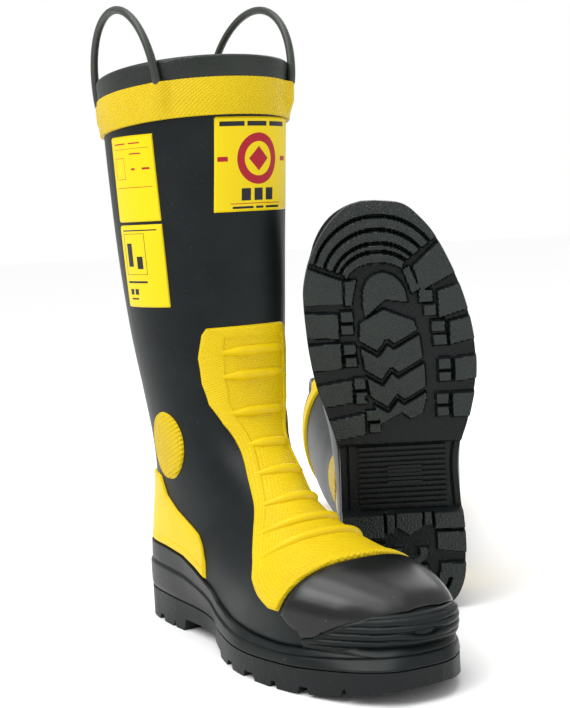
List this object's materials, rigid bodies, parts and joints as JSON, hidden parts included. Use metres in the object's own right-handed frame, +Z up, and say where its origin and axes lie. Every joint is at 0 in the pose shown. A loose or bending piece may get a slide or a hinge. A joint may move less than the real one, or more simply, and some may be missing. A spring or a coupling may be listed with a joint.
{
  "type": "fire boots",
  "caption": "Pair of knee-high rubber fire boots with coloured guards, pull loops, steel toe and lugged sole; one boot stands, one lies on its back",
  "frame": {"origin": "on the floor, under the middle of the pair's bounding box", "axes": "+Z up; the lying left boot's leg points to +Y with its sole facing -Y; the standing right boot's toe points to -Y turned 29.4 degrees to +X"},
  "size_m": [0.2818, 0.6439, 0.4518],
  "materials": {
    "black_rubber": "satin",
    "sole_rubber": "matte",
    "yellow_rubber": "satin",
    "grey_rubber": "satin",
    "yellow_print": "gloss print on rubber",
    "lining_textile": "knitted",
    "board": "pressed fibre",
    "foam": "knit on foam",
    "steel": "brushed"
  },
  "bodies": {
    "right_boot": {"right_upper_shell": "black_rubber", "right_outsole": "sole_rubber", "right_midsole_filler": "sole_rubber", "right_rand": "black_rubber", "right_front_guard": "yellow_rubber", "right_heel_guard": "yellow_rubber", "right_back_strip": "yellow_rubber", "right_lateral_ankle_disc": "yellow_rubber", "right_medial_ankle_disc": "yellow_rubber", "right_toe_cover": "black_rubber", "right_toe_bumper": "black_rubber", "right_steel_toe_cap": "steel", "right_toe_cap_strip": "grey_rubber", "right_lining": "lining_textile", "right_heel_counter": "board", "right_shank": "steel", "right_steel_midsole": "steel", "right_insole_board": "board", "right_footbed": "foam", "right_rim_collar": "black_rubber", "right_top_band": "yellow_rubber", "right_front_label": "yellow_print", "right_side_label_upper": "yellow_print", "right_side_label_lower": "yellow_print"},
    "right_lateral_loop": {"right_lateral_pull_loop": "grey_rubber"},
    "right_medial_loop": {"right_medial_pull_loop": "grey_rubber"},
    "left_boot": {"left_upper_shell": "black_rubber", "left_outsole": "sole_rubber", "left_midsole_filler": "sole_rubber", "left_rand": "black_rubber", "left_front_guard": "yellow_rubber", "left_heel_guard": "yellow_rubber", "left_back_strip": "yellow_rubber", "left_lateral_ankle_disc": "yellow_rubber", "left_medial_ankle_disc": "yellow_rubber", "left_toe_cover": "black_rubber", "left_toe_bumper": "black_rubber", "left_steel_toe_cap": "steel", "left_toe_cap_strip": "grey_rubber", "left_lining": "lining_textile", "left_heel_counter": "board", "left_shank": "steel", "left_steel_midsole": "steel", "left_insole_board": "board", "left_footbed": "foam", "left_rim_collar": "black_rubber", "left_top_band": "yellow_rubber", "left_front_label": "yellow_print", "left_side_label_upper": "yellow_print", "left_side_label_lower": "yellow_print"},
    "left_lateral_loop": {"left_lateral_pull_loop": "grey_rubber"},
    "left_medial_loop": {"left_medial_pull_loop": "grey_rubber"}
  },
  "joints": [
    {"name": "right_lateral_loop_hinge", "type": "hinge", "parent": "right_boot", "child": "right_lateral_loop", "pos_m": [-0.11172, -0.13023, 0.38709], "axis": [0.4908, -0.8678, 0.0774], "range_deg": [0, 60], "stiffness_Nm_per_rad": 0.05},
    {"name": "right_medial_loop_hinge", "type": "hinge", "parent": "right_boot", "child": "right_medial_loop", "pos_m": [-0.01896, -0.07797, 0.38709], "axis": [-0.4881, 0.8694, -0.0773], "range_deg": [0, 60], "stiffness_Nm_per_rad": 0.05},
    {"name": "left_lateral_loop_hinge", "type": "hinge", "parent": "left_boot", "child": "left_lateral_loop", "pos_m": [0.1256, 0.25736, 0.07548], "axis": [0.0016, -0.0164, -0.9999], "range_deg": [0, 60], "stiffness_Nm_per_rad": 0.05},
    {"name": "left_medial_loop_hinge", "type": "hinge", "parent": "left_boot", "child": "left_medial_loop", "pos_m": [0.01913, 0.25736, 0.07548], "axis": [0.0016, 0.0163, 0.9999], "range_deg": [0, 60], "stiffness_Nm_per_rad": 0.05},
    {"name": "left_boot_lift", "type": "slide", "parent": "right_boot", "child": "left_boot", "axis": [0.1, 0.2, 0.9747], "range_m": [0, 0.45]}
  ]
}
